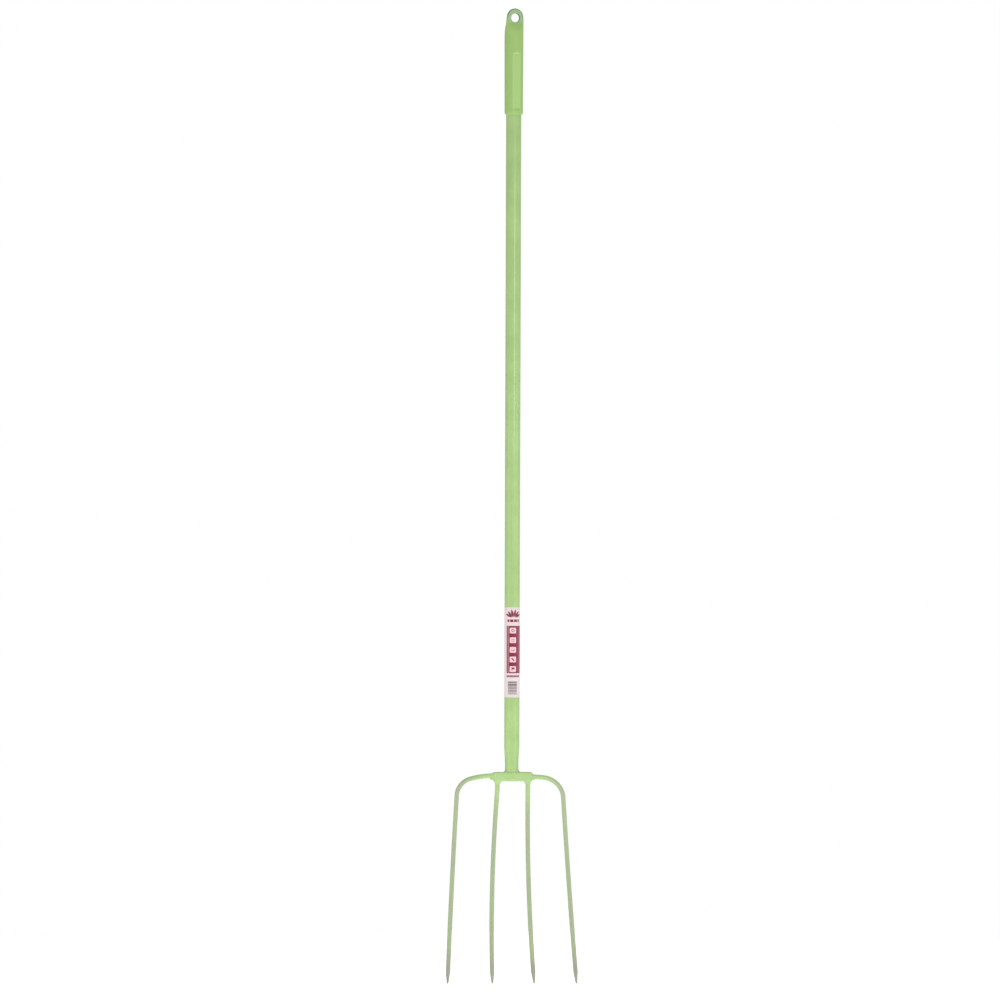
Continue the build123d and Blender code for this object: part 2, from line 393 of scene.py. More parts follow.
@dataclass(frozen=True)
class MouldedPolypropylene(Finish):
    """Polypropylene injection moulded in a spark-eroded tool.

    To the eye: a matt skin with a fine even grain, a shade deeper than the paint beside it, slightly polished by
    hands on its high places and a little cloudy from the flow of the melt.
    """

    colour: str = "#abd07b"
    deep_colour: str = "#a5ca75"
    rubbed_colour: str = "#b3d588"
    # The flat land is painted lighter than the grain round it, as a painted highlight on its flat face, which meets
    # the light.
    land_highlight_colour: str = "#b2d785"
    # The tab hangs on nails and is stood on, so it is scuffed to a greyer green. Its rim is painted darker, as painted
    # shade on the rounded edge that turns away from the light.
    scuffed_colour: str = "#a9c697"
    rim_shade_colour: str = "#738d6e"
    roughness: float = 0.5
    polish: float = 0.14
    # The polish noise starts to show at the first of these and shows most at the second.
    rub_range: tuple[float, float] = (0.52, 0.75)
    most_rubbed: float = 0.45
    flow_mm: float = 24.0
    # The eroded grain is about 0.3 mm. It is drawn at 1.2 mm, which is as fine as the render can show.
    grain_mm: float = 1.2
    grain_height_mm: float = 0.05

    def material(self) -> Material:
        """Builds the material from the mesh's shares of flat land, which is painted lighter as a painted highlight, of
        scuffed tab, and of rim, which is painted darker as painted shade.
        """
        material, tree, place = self.start()
        flow = add(tree, "ShaderNodeTexNoise", {
            "Vector": place, "Scale": per_metre(self.flow_mm), "Detail": 3.0, "Distortion": 0.8,
        })
        base = add(tree, "ShaderNodeMix", {
            MIX_FACTOR: flow.outputs["Fac"], MIX_A: linear(self.deep_colour), MIX_B: linear(self.colour),
        }, data_type="RGBA")
        grain = add(tree, "ShaderNodeTexVoronoi", {"Vector": place, "Scale": per_metre(self.grain_mm)})
        handling = add(tree, "ShaderNodeTexNoise", {
            "Vector": place, "Scale": per_metre(self.flow_mm / 3.0), "Detail": 5.0, "Roughness": 0.7,
        })
        rubbed = add(tree, "ShaderNodeMapRange", {
            "Value": handling.outputs["Fac"], "From Min": self.rub_range[0], "From Max": self.rub_range[1],
            "To Min": 0.0, "To Max": self.most_rubbed,
        })
        seen = add(tree, "ShaderNodeMix", {
            MIX_FACTOR: rubbed.outputs["Result"], MIX_A: base.outputs[MIX_RESULT],
            MIX_B: linear(self.rubbed_colour),
        }, data_type="RGBA")
        # The land's share paints a highlight and the rim's share paints shade. The scuffed share is wear.
        for share, colour in (
            ("land", self.land_highlight_colour), ("scuffed", self.scuffed_colour), ("rim", self.rim_shade_colour),
        ):
            shared = add(tree, "ShaderNodeAttribute", attribute_name=share, attribute_type="GEOMETRY")
            seen = add(tree, "ShaderNodeMix", {
                MIX_FACTOR: shared.outputs["Fac"], MIX_A: seen.outputs[MIX_RESULT], MIX_B: linear(colour),
            }, data_type="RGBA")
        pits = add(tree, "ShaderNodeBump", {
            "Height": grain.outputs["Distance"], "Strength": 0.5, "Distance": self.grain_height_mm * MM,
        })
        roughness = add(tree, "ShaderNodeMapRange", {
            "Value": rubbed.outputs["Result"], "From Max": self.most_rubbed,
            "To Min": self.roughness, "To Max": self.roughness - self.polish,
        })
        shader = add(tree, "ShaderNodeBsdfPrincipled", {
            "Base Color": seen.outputs[MIX_RESULT], "Roughness": roughness.outputs["Result"],
            "Normal": pits.outputs["Normal"], "IOR": 1.49, "Specular IOR Level": 0.4,
        })
        add(tree, "ShaderNodeOutputMaterial", {"Surface": shader.outputs["BSDF"]})
        return material


class Ink(Enum):
    """The inks of the label, each with its colour. The name is that of the attribute that holds its coverage."""

    CRIMSON = "#86203f"
    ROSE = "#a5657a"
    PINK = "#facad4"
    GREY = "#363233"


@dataclass(frozen=True)
class PrintedFilm(Finish):
    """White polypropylene film, printed in flexography and laminated.

    To the eye: a clear glossy skin over flat inks, yellower and duller at its ends where it has been handled, with
    fine creases where it is wrapped round the tube.
    """

    colour: str = "#e9dadc"
    aged_colour: str = "#ddd0c8"
    roughness: float = 0.34
    gloss: float = 0.06
    dulling: float = 0.1
    haze_mm: float = 14.0
    crease_mm: float = 4.5
    crease_height_mm: float = 0.03

    def material(self) -> Material:
        """Builds the material from the ink coverages, and the edge attribute that rises towards the film's ends."""
        material, tree, place = self.start()
        haze = add(tree, "ShaderNodeTexNoise", {
            "Vector": place, "Scale": per_metre(self.haze_mm), "Detail": 4.0, "Roughness": 0.6,
        })
        edge = add(tree, "ShaderNodeAttribute", attribute_name="edge", attribute_type="GEOMETRY")
        age = add(tree, "ShaderNodeMath", {
            0: edge.outputs["Fac"], 1: haze.outputs["Fac"],
        }, operation="MULTIPLY")
        seen = add(tree, "ShaderNodeMix", {
            MIX_FACTOR: age.outputs["Value"], MIX_A: linear(self.colour), MIX_B: linear(self.aged_colour),
        }, data_type="RGBA")
        for ink in Ink:
            coverage = add(tree, "ShaderNodeAttribute", attribute_name=ink.name.lower(), attribute_type="GEOMETRY")
            seen = add(tree, "ShaderNodeMix", {
                MIX_FACTOR: coverage.outputs["Fac"], MIX_A: seen.outputs[MIX_RESULT], MIX_B: linear(ink.value),
            }, data_type="RGBA")
        crease = add(tree, "ShaderNodeTexNoise", {
            "Vector": place, "Scale": per_metre(self.crease_mm), "Detail": 2.0,
        })
        relief = add(tree, "ShaderNodeBump", {
            "Height": crease.outputs["Fac"], "Strength": 0.5, "Distance": self.crease_height_mm * MM,
        })
        roughness = add(tree, "ShaderNodeMapRange", {
            "Value": haze.outputs["Fac"], "From Min": NOISE_LOW, "From Max": NOISE_HIGH,
            "To Min": self.roughness - self.gloss, "To Max": self.roughness + self.dulling,
        })
        shader = add(tree, "ShaderNodeBsdfPrincipled", {
            "Base Color": seen.outputs[MIX_RESULT], "Roughness": roughness.outputs["Result"],
            "Normal": relief.outputs["Normal"], "IOR": 1.5,
        })
        add(tree, "ShaderNodeOutputMaterial", {"Surface": shader.outputs["BSDF"]})
        return material


@dataclass(frozen=True)
class DrawnSteel(Finish):
    """Bright mild steel bar, cold drawn.

    To the eye: a grey metal with fine lines along its length and a thin film of oil.
    """

    colour: str = "#a9a8a4"
    dull_colour: str = "#7f7d78"
    roughness: float = 0.38
    # The drawn lines are about 0.2 mm apart. They are drawn at 0.8 mm, as coarse as they need to be to show.
    line_mm: float = 0.8
    line_stretch: float = 0.02
    line_height_mm: float = 0.02

    def material(self) -> Material:
        """Builds the material."""
        material, tree, place = self.start()
        along = add(tree, "ShaderNodeMapping", {"Vector": place, "Scale": (1.0, 1.0, self.line_stretch)})
        lines = add(tree, "ShaderNodeTexNoise", {
            "Vector": along.outputs["Vector"], "Scale": per_metre(self.line_mm), "Detail": 4.0,
        })
        seen = add(tree, "ShaderNodeMix", {
            MIX_FACTOR: lines.outputs["Fac"], MIX_A: linear(self.dull_colour), MIX_B: linear(self.colour),
        }, data_type="RGBA")
        relief = add(tree, "ShaderNodeBump", {
            "Height": lines.outputs["Fac"], "Strength": 0.4, "Distance": self.line_height_mm * MM,
        })
        shader = add(tree, "ShaderNodeBsdfPrincipled", {
            "Base Color": seen.outputs[MIX_RESULT], "Metallic": 1.0, "Roughness": self.roughness,
            "Normal": relief.outputs["Normal"],
        })
        add(tree, "ShaderNodeOutputMaterial", {"Surface": shader.outputs["BSDF"]})
        return material


@dataclass(frozen=True)
class OpalAcrylic(Finish):
    """Opal acrylic sheet, extruded, lit softly from below as a light table.

    To the eye: an even white with a trace of tone, in which shadows are faint.
    """

    colour: str = "#ffffff"
    shade_colour: str = "#fafafa"
    roughness: float = 0.6
    tone_mm: float = 300.0
    glow: float = 0.6

    def material(self) -> Material:
        """Builds the material."""
        material, tree, place = self.start()
        tone = add(tree, "ShaderNodeTexNoise", {"Vector": place, "Scale": per_metre(self.tone_mm)})
        seen = add(tree, "ShaderNodeMix", {
            MIX_FACTOR: tone.outputs["Fac"], MIX_A: linear(self.colour), MIX_B: linear(self.shade_colour),
        }, data_type="RGBA")
        shader = add(tree, "ShaderNodeBsdfPrincipled", {
            "Base Color": seen.outputs[MIX_RESULT], "Roughness": self.roughness, "Specular IOR Level": 0.1,
            "Emission Color": linear(self.colour), "Emission Strength": self.glow,
        })
        add(tree, "ShaderNodeOutputMaterial", {"Surface": shader.outputs["BSDF"]})
        return material


# ---- The frame's places ----


@dataclass(frozen=True)
class NodeBox:
    """The box of a CAD node at rest, in millimetres."""

    low: Points
    high: Points

    @classmethod
    def of(cls, node: str) -> "NodeBox":
        """Reads the box of a node from the frame."""
        low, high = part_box(node)
        return cls(np.array(low) / MM, np.array(high) / MM)

    @property
    def middle(self) -> Points:
        """The middle of the box."""
        return (self.low + self.high) / 2.0


def shaft_axis() -> Points:
    """Where the shaft's axis crosses the row's plane of height 0."""
    middle = NodeBox.of("shaft_tube").middle
    return np.array([middle[0], middle[1], 0.0])


def place_and_dress(piece: Piece, material: Material, nodes: tuple[str, ...]) -> None:
    """Gives a piece its material and its body, hides the CAD nodes that it stands for, and reports it.

    Args:
        piece: The piece.
        material: Its material.
        nodes: The CAD nodes that it stands for.
    """
    piece.data.materials.clear()
    piece.data.materials.append(material)
    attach(piece, "root")
    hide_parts(*nodes)
    LOG.info("%s: %d faces, %s", piece.name, len(piece.data.polygons), material.name)


# ---- The hand grip ----


@dataclass(frozen=True)
class HandGrip:
    """The moulded sleeve with its flat tab and hang hole.

    In the grip's own frame the shaft's axis is x = y = 0, and the front is at -y. The frame is turned so that the
    front faces along the hang hole's axis.
    """

    top_radius: float = 15.0
    low_radius: float = 14.5
    bore_radius: float = 12.05
    mouth_radius: float = 12.35
    mouth_length: float = 4.7
    tab_radius: float = 13.2
    tab_rise: float = 1.5
    tab_foot: float = 8.0
    tab_thickness: float = 4.5
    front_slope: float = 0.6625
    back_slope: float = 0.675
    edge_power: float = 6.0
    hole_radius: float = 7.0
    hole_rim: float = 1.0
    # The flare stops short of a quarter turn, and goes a little past the face so that it cuts clean through it.
    hole_flare: float = 78.0
    hole_past: float = 1.04
    hole_crease: float = 35.0
    hole_rows: int = 14
    hole_columns: int = 96
    panel_width: float = 13.0
    panel_top: float = -54.0
    panel_length: float = 92.5
    panel_ramp: float = 2.5
    panel_power: float = 70.0
    land_fade: float = 0.12
    scuffed: float = 0.8
    rim_width: float = 2.8
    rim_whole: float = 0.2
    seam_height: float = 0.14
    seam_width: float = 0.9
    row_step: float = 0.9
    tab_rows: int = 48
    mouth_rows: int = 12
    columns: int = 180
    tube_top: float = -38.0

    def front_axis(self) -> Points:
        """The direction in which the grip faces, which is the axis of the hang hole's mount."""
        mounts = {mount["name"]: mount for mount in frame["record"]["mounts"]}
        return np.array(mounts["hang_hole"]["axis"])

    def outer_radius(self, height: Points) -> Points:
        """The sleeve's radius: a straight taper, with a rounded chamfer at the mouth.

        Args:
            height: Heights in the row's frame.

        Returns:
            The radius at each height.
        """
        box = NodeBox.of("hand_grip")
        low, high = box.low[2], box.high[2]
        taper = self.low_radius + (self.top_radius - self.low_radius) * (height - low) / (high - low)
        share = np.clip((height - low) / self.mouth_length, 0.0, 1.0)
        rounded = np.sqrt(1.0 - (1.0 - share) ** 2)
        mouth = self.mouth_radius + (taper - self.mouth_radius) * rounded
        return np.where(share < 1.0, mouth, taper)

    def side_limit(self, height: Points) -> Points:
        """Half the width of the tab as seen from the front: a round end, and tangents down to the full width.

        Args:
            height: Heights in the row's frame.

        Returns:
            Half the width at each height.
        """
        rise = height - self.tab_rise
        foot_drop = self.tab_foot + self.tab_rise
        reach = math.hypot(self.top_radius, foot_drop)
        lean = math.acos(self.tab_radius / reach) - math.atan2(foot_drop, self.top_radius)
        tangent = (self.tab_radius - rise * math.sin(lean)) / math.cos(lean)
        circle = np.sqrt(np.clip(self.tab_radius**2 - rise**2, 0.0, None))
        width = np.where(rise > self.tab_radius * math.sin(lean), circle, tangent)
        return np.minimum(width, self.top_radius)

    def section(self, height: Points, forward: float) -> Points:
        """The rings of the outside, one at each height.

        From a middle between the front and the back, the distance outwards in each direction is the sum, to the power
        minus one over p, of the distances to the front plane, the back plane and the side, each to the power minus p.
        The side is the nearer of the sleeve's circle and the limit of the width. A higher p makes a sharper edge.

        Args:
            height: The height of each ring.
            forward: How far the tab's middle plane is in front of the shaft's axis.

        Returns:
            Points of shape (heights, columns, 3), in the grip's own frame.
        """
        radius = self.outer_radius(height)[:, None]
        angle = angles_round(self.columns)[None, :]
        across, ahead = np.sin(angle), np.cos(angle)
        below = np.clip(-self.tab_foot - height, 0.0, None)[:, None]
        half = self.tab_thickness / 2.0
        top_share = np.clip((height - self.tab_rise) / self.tab_radius, 0.0, 1.0)[:, None]
        rounding = (1.0 - top_share**self.edge_power) ** (1.0 / self.edge_power)
        front = forward + half * rounding + self.front_slope * below
        back = -forward + half * rounding + self.back_slope * below
        middle = (np.minimum(front, radius) - np.minimum(back, radius)) / 2.0
        to_circle = -middle * ahead + np.sqrt(radius**2 - (middle * across) ** 2)
        to_side = self.side_limit(height)[:, None] / np.clip(np.abs(across), 1e-6, None)
        side = np.minimum(to_circle, to_side)
        to_plane = np.where(ahead > 0.0, front - middle, back + middle)
        nearness = side**-self.edge_power + (np.abs(ahead) / to_plane) ** self.edge_power
        outwards = nearness ** (-1.0 / self.edge_power)
        outwards = self.with_panel(outwards, height, ahead)
        seam = np.exp(-((np.abs(ahead) * outwards / self.seam_width) ** 2))
        outwards = outwards + self.seam_height * seam * eased(-self.tab_foot, -self.tab_foot * 4.0, height)[:, None]
        return np.stack([
            outwards * across,
            -(middle + outwards * ahead),
            np.broadcast_to(height[:, None], outwards.shape),
        ], axis=-1)

    def panel_plane(self, height: Points, ahead: Points) -> Points:
        """How far out the plane of the flat land is: it ramps out of the sleeve at each end of the land.

        Args:
            height: The height of each ring.
            ahead: The cosine of each column's direction from the front.

        Returns:
            The distance outwards to the plane at each point.
        """
        land = math.sqrt(self.low_radius**2 - (self.panel_width / 2.0) ** 2)
        low = self.panel_top - self.panel_length
        ends = np.minimum(self.panel_top - height, height - low)
        lift = (self.top_radius + 1.0 - land) * (1.0 - np.clip(ends / self.panel_ramp, -8.0, 1.0))
        return (land + lift)[:, None] / np.clip(ahead, 1e-3, None)

    def with_panel(self, outwards: Points, height: Points, ahead: Points) -> Points:
        """Lets the flat land into the front, with a softened edge where its plane meets the sleeve.

        Args:
            outwards: The distance outwards of each point without the land.
            height: The height of each ring.
            ahead: The cosine of each column's direction from the front.

        Returns:
            The distance outwards of each point with it.
        """
        nearness = outwards**-self.panel_power + self.panel_plane(height, ahead) ** -self.panel_power
        return nearness ** (-1.0 / self.panel_power)

    def land_highlight_share(self, height: Points) -> Points:
        """How much each point of the outside belongs to the flat land, from 0 to 1, for its painted highlight."""
        ahead = np.cos(angles_round(self.columns))[None, :]
        below = self.outer_radius(height)[:, None] - self.panel_plane(height, ahead)
        return eased(0.0, self.land_fade, below)

    def tab_scuffs_and_rim_shade(self, rings: Points) -> tuple[Points, Points]:
        """How scuffed the tab is, and how much painted shade darkens its rim.

        The rim is near the tab's outline from the front: where the distance from the middle of its round end, or
        below that from its sides, comes within the rim's width.

        Args:
            rings: Points of the outside in the grip's own frame.

        Returns:
            Two shares from 0 to 1 for each point.
        """
        across, height = np.abs(rings[..., 0]), rings[..., 2]
        rise = height - self.tab_rise
        to_end = self.tab_radius - np.hypot(across, rise)
        to_side = self.side_limit(height[:, 0])[:, None] - across
        inside = np.where(rise > 0.0, to_end, to_side)
        on_tab = eased(-1.3 * self.tab_foot, -0.4 * self.tab_foot, height)
        above_hole = eased(-self.tab_foot, self.tab_rise + self.hole_radius, height)
        # The second share is painted shade along the tab's rim.
        return self.scuffed * on_tab, on_tab * above_hole * eased(self.rim_width, self.rim_whole, inside)

    def build(self, finish: MouldedPolypropylene) -> None:
        """Builds and dresses the grip.

        Args:
            finish: What it is made of.
        """
        box = NodeBox.of("hand_grip")
        axis = shaft_axis()
        forward = float(np.hypot(axis[0], axis[1]))
        facing = self.front_axis()
        turn = np.array([[-facing[1], -facing[0], 0.0], [facing[0], -facing[1], 0.0], [0.0, 0.0, 1.0]])
        climb = np.linspace(math.radians(89.0), 0.0, self.tab_rows)
        tab = self.tab_rise + self.tab_radius * np.sin(climb)
        body = np.arange(self.tab_rise, box.low[2] + self.mouth_length, -self.row_step)[1:]
        mouth = np.linspace(box.low[2] + self.mouth_length, box.low[2], self.mouth_rows)
        height = np.concatenate([tab, body, mouth])
        outside = self.section(height, forward)
        bore_height = np.array([box.low[2], box.low[2] + self.mouth_length, self.tube_top, self.tube_top])
        bore = rings_around(np.array([1.0, 1.0, 1.0, 0.2]) * self.bore_radius, bore_height, self.columns)
        rings = np.vstack([outside, bore]) @ turn.T + axis
        scuffed, rim = self.tab_scuffs_and_rim_shade(outside)
        shares = {"land": self.land_highlight_share(height), "scuffed": scuffed, "rim": rim}
        grip = skin("hand_grip_moulding", rings, attributes=shares)
        cut_out(grip, self.hole_cutter(facing), self.hole_crease)
        place_and_dress(grip, finish.material(), ("hand_grip",))

    def hole_cutter(self, facing: Points) -> Piece:
        """The hang hole's shape: a waist at its radius, flared towards each face along a quarter circle.

        Args:
            facing: The hole's axis.

        Returns:
            The cutter, centred on the row's origin.
        """
        half = self.tab_thickness / 2.0
        quarter = np.linspace(0.0, math.radians(self.hole_flare), self.hole_rows)
        depth = half - self.hole_rim + self.hole_rim * self.hole_past * np.sin(quarter)
        flare = self.hole_radius + self.hole_rim * (1.0 - np.cos(quarter))
        outside = half * 3.0
        depth = np.concatenate([[0.0], depth, [outside]])
        flare = np.concatenate([[self.hole_radius], flare, [flare[-1] + 0.5]])
        depth = np.concatenate([-depth[:0:-1], depth])
        flare = np.concatenate([flare[:0:-1], flare])
        rings = rings_around(flare, depth, self.hole_columns)
        sideways = np.cross(facing, [0.0, 0.0, 1.0])
        basis = np.stack([sideways, [0.0, 0.0, 1.0], facing])
        return skin("hang_hole_cutter", rings @ basis)


# ---- The shaft and its label ----


@dataclass(frozen=True)
class ShaftTube:
    """The steel tube, swaged down to its neck with a smooth shoulder at each end of the taper."""

    radius: float = 12.0
    wall: float = 1.2
    neck_radius: float = 10.7
    neck_length: float = 13.5
    swage_length: float = 30.0
    end_round: float = 0.4
    columns: int = 112
    row_step: float = 9.0
    swage_rows: int = 28
    neck_rows: int = 6

    def build(self, paint: Material) -> None:
        """Builds the tube: the outline of its wall, turned about the shaft's axis.

        Args:
            paint: The shaft's paint.
        """
        box = NodeBox.of("shaft_tube")
        neck_top = box.low[2] + self.neck_length
        swage_top = neck_top + self.swage_length
        straight = np.arange(box.high[2] - self.end_round, swage_top, -self.row_step)
        swage = np.linspace(swage_top, neck_top, self.swage_rows)
        neck = np.linspace(neck_top, box.low[2] + self.end_round, self.neck_rows)[1:]
        height = np.concatenate([[box.high[2]], straight, swage, neck, [box.low[2]]])
        radius = self.neck_radius + (self.radius - self.neck_radius) * eased(neck_top, swage_top, height)
        radius[[0, -1]] -= self.end_round
        inner = radius - self.wall
        inner[[0, -1]] += 2.0 * self.end_round
        rings = rings_around(
            np.concatenate([radius, inner[::-1]]), np.concatenate([height, height[::-1]]), self.columns
        )
        tube = skin("shaft_tube_swaged", rings + shaft_axis(), Ends.JOINED)
        place_and_dress(tube, paint, ("shaft_tube",))


class Pictogram(Enum):
    """The plain marks in the label's squares, from the top."""

    RING = 0
    WAVES = 1
    BOWL = 2
    STROKE = 3
    FLAG = 4


@dataclass(frozen=True)
class LabelPrint:
    """What is printed on the label, as coverages of ink between 0 and 1.

    Each method is given places in millimetres across the label, to the right, and up, from its middle. A shape is a
    distance that is negative inside it, and ink fades in over the softness of its edge.
    """

    softness: float = 0.5
    panel_left: float = -11.6
    panel_right: float = 16.4
    panel_top: float = 41.8
    panel_low: float = -32.8
    panel_corner: float = 0.8
    keyline: float = 8.25
    keyline_width: float = 0.5
    keyline_strength: float = 0.6
    square_across: float = -0.9
    square_half: tuple[float, float] = (5.1, 4.4)
    square_corner: float = 1.3
    first_square: float = 34.4
    square_pitch: float = 15.15
    motif_foot: float = 55.2
    motif_leaf: float = 13.0
    motif_leans: tuple[float, ...] = (-60.0, -36.0, -12.0, 12.0, 36.0, 60.0)
    margin_pitch: float = 3.1
    margin_strength: float = 0.45
    rule_up: float = -37.5
    bars_top: float = -45.8
    bars_low: float = -66.0
    bars_across: float = -1.5
    bars_half_width: float = 7.6

    def box(
        self, across: Points, up: Points, middle: tuple[float, float], half: tuple[float, float], corner: float = 0.0,
    ) -> Points:
        """Distance to a rounded box: the length of what stands out past its sides, or the nearer side within it.

        Args:
            across: Places across.
            up: Places up.
            middle: The box's middle.
            half: Half its width and half its height.
            corner: The radius of its corners.

        Returns:
            The distances.
        """
        wide = np.abs(across - middle[0]) - half[0] + corner
        tall = np.abs(up - middle[1]) - half[1] + corner
        past = np.hypot(np.maximum(wide, 0.0), np.maximum(tall, 0.0))
        return past + np.minimum(np.maximum(wide, tall), 0.0) - corner

    def leaf(self, across: Points, up: Points, foot: tuple[float, float], lean: float, length: float) -> Points:
        """Distance to a leaf: where two equal circles overlap, one each side of a line from its foot to its tip.

        Args:
            across: Places across.
            up: Places up.
            foot: Where the leaf starts.
            lean: The angle of its line from straight up, in degrees, to the right.
            length: From its foot to its tip.

        Returns:
            The distances.
        """
        sine, cosine = math.sin(math.radians(lean)), math.cos(math.radians(lean))
        along = (across - foot[0]) * sine + (up - foot[1]) * cosine - length / 2.0
        aside = (across - foot[0]) * cosine - (up - foot[1]) * sine
        radius = length * 0.95
        offset = math.sqrt(radius**2 - (length / 2.0) ** 2)
        return np.hypot(along, np.abs(aside) + offset) - radius

    def pictogram(self, kind: Pictogram, across: Points, up: Points) -> Points:
        """Distance to one of the plain marks, from its own middle.

        Args:
            kind: Which mark.
            across: Places across.
            up: Places up.

        Returns:
            The distances.
        """
        if kind is Pictogram.RING:
            return np.abs(np.hypot(across, up) - 2.0) - 0.55
        if kind is Pictogram.WAVES:
            wave = np.sin(across * 2.2) * 0.5
            rows = np.minimum(np.abs(up - wave - 1.3), np.abs(up - wave + 1.3)) - 0.5
            return np.maximum(rows, np.abs(across) - 2.8)
        if kind is Pictogram.BOWL:
            return np.maximum(np.abs(np.hypot(across, up - 0.9) - 2.3) - 0.6, up - 0.6)
        if kind is Pictogram.STROKE:
            turned, level = (across + up) / math.sqrt(2.0), (across - up) / math.sqrt(2.0)
            return self.box(level, turned, (0.0, 0.0), (3.0, 1.15), 0.8)
        mast = self.box(across, up, (-1.5, 0.0), (0.7, 2.8), 0.2)
        cloth = self.box(across, up, (0.5, 1.1), (2.1, 1.6), 0.4)
        return np.minimum(mast, cloth)

    def ink(self, distance: Points) -> Points:
        """Ink coverage of a distance: whole inside the shape, none outside, and half on its edge."""
        return np.clip(0.5 - distance / self.softness, 0.0, 1.0)

    def coverages(self, across: Points, up: Points) -> dict[str, Points]:
        """All the inks.

        Args:
            across: Places across the label.
            up: Places up it.

        Returns:
            For each ink's attribute, its coverage at each place.
        """
        panel_middle = ((self.panel_left + self.panel_right) / 2.0, (self.panel_top + self.panel_low) / 2.0)
        panel_half = ((self.panel_right - self.panel_left) / 2.0, (self.panel_top - self.panel_low) / 2.0)
        panel = self.box(across, up, panel_middle, panel_half, self.panel_corner)
        squares = np.full(across.shape, np.inf)
        marks = np.full(across.shape, np.inf)
        for kind in Pictogram:
            middle = (self.square_across, self.first_square - kind.value * self.square_pitch)
            squares = np.minimum(squares, self.box(across, up, middle, self.square_half, self.square_corner))
            marks = np.minimum(marks, self.pictogram(kind, across - middle[0], up - middle[1]))
        motif = self.motif(across, up)
        flat = np.minimum(np.minimum(motif, marks), self.dashes(across, up))
        crimson = np.maximum(self.ink(panel) * (1.0 - self.ink(squares)), self.ink(flat))
        lines = np.abs(np.abs(across) - self.keyline) - self.keyline_width / 2.0
        band = np.maximum(self.keyline - np.abs(across), panel)
        # Rungs of rose in the margins stand for columns of small print.
        rungs = self.margin_strength + self.margin_strength * np.sin(FULL_TURN * up / self.margin_pitch)
        keylines = self.keyline_strength * self.ink(np.maximum(lines, panel))
        inks = {
            Ink.CRIMSON: crimson,
            Ink.ROSE: self.ink(band) * rungs,
            Ink.PINK: np.maximum(self.ink(squares) * (1.0 - self.ink(marks)), keylines),
            Ink.GREY: self.ladder(across, up),
        }
        return {ink.name.lower(): coverage for ink, coverage in inks.items()}

    def motif(self, across: Points, up: Points) -> Points:
        """Distance to the plain tuft of grass at the head of the label: blades in a fan, over a broken rule."""
        leaves = [
            self.leaf(across, up, (0.06 * lean, self.motif_foot), lean, self.motif_leaf * (1.0 - 0.0016 * abs(lean)))
            for lean in self.motif_leans
        ]
        rule = self.box(across, up, (0.0, self.motif_foot - 5.4), (10.2, 2.1), 0.5)
        gaps = 0.5 - np.abs((across + 3.0) % 6.2 - 3.1)
        return np.minimum.reduce([*leaves, np.maximum(rule, gaps)])

    def dashes(self, across: Points, up: Points) -> Points:
        """Distance to the broken rule under the panel, which stands for a line of small print."""
        rule = self.box(across, up, (0.0, self.rule_up), (-self.panel_left, 1.6), 0.3)
        gaps = 0.2 - np.abs((across + 0.7) % 2.3 - 1.15)
        return np.maximum(rule, gaps)

    def ladder(self, across: Points, up: Points) -> Points:
        """Coverage of the ladder of plain bars at the foot of the label, fading towards its lowest rungs."""
        middle = (self.bars_across, (self.bars_top + self.bars_low) / 2.0)
        field_box = self.box(across, up, middle, (self.bars_half_width, (self.bars_top - self.bars_low) / 2.0))
        drop = self.bars_top - up
        rung = 0.68 + 0.5 * np.sin(drop * 2.0) + 0.24 * np.sin(drop * 1.31 + 0.8)
        fade = 1.0 - 0.3 * eased(0.0, self.bars_top - self.bars_low, drop)
        return self.ink(field_box) * np.clip(rung, 0.15, 1.0) * fade


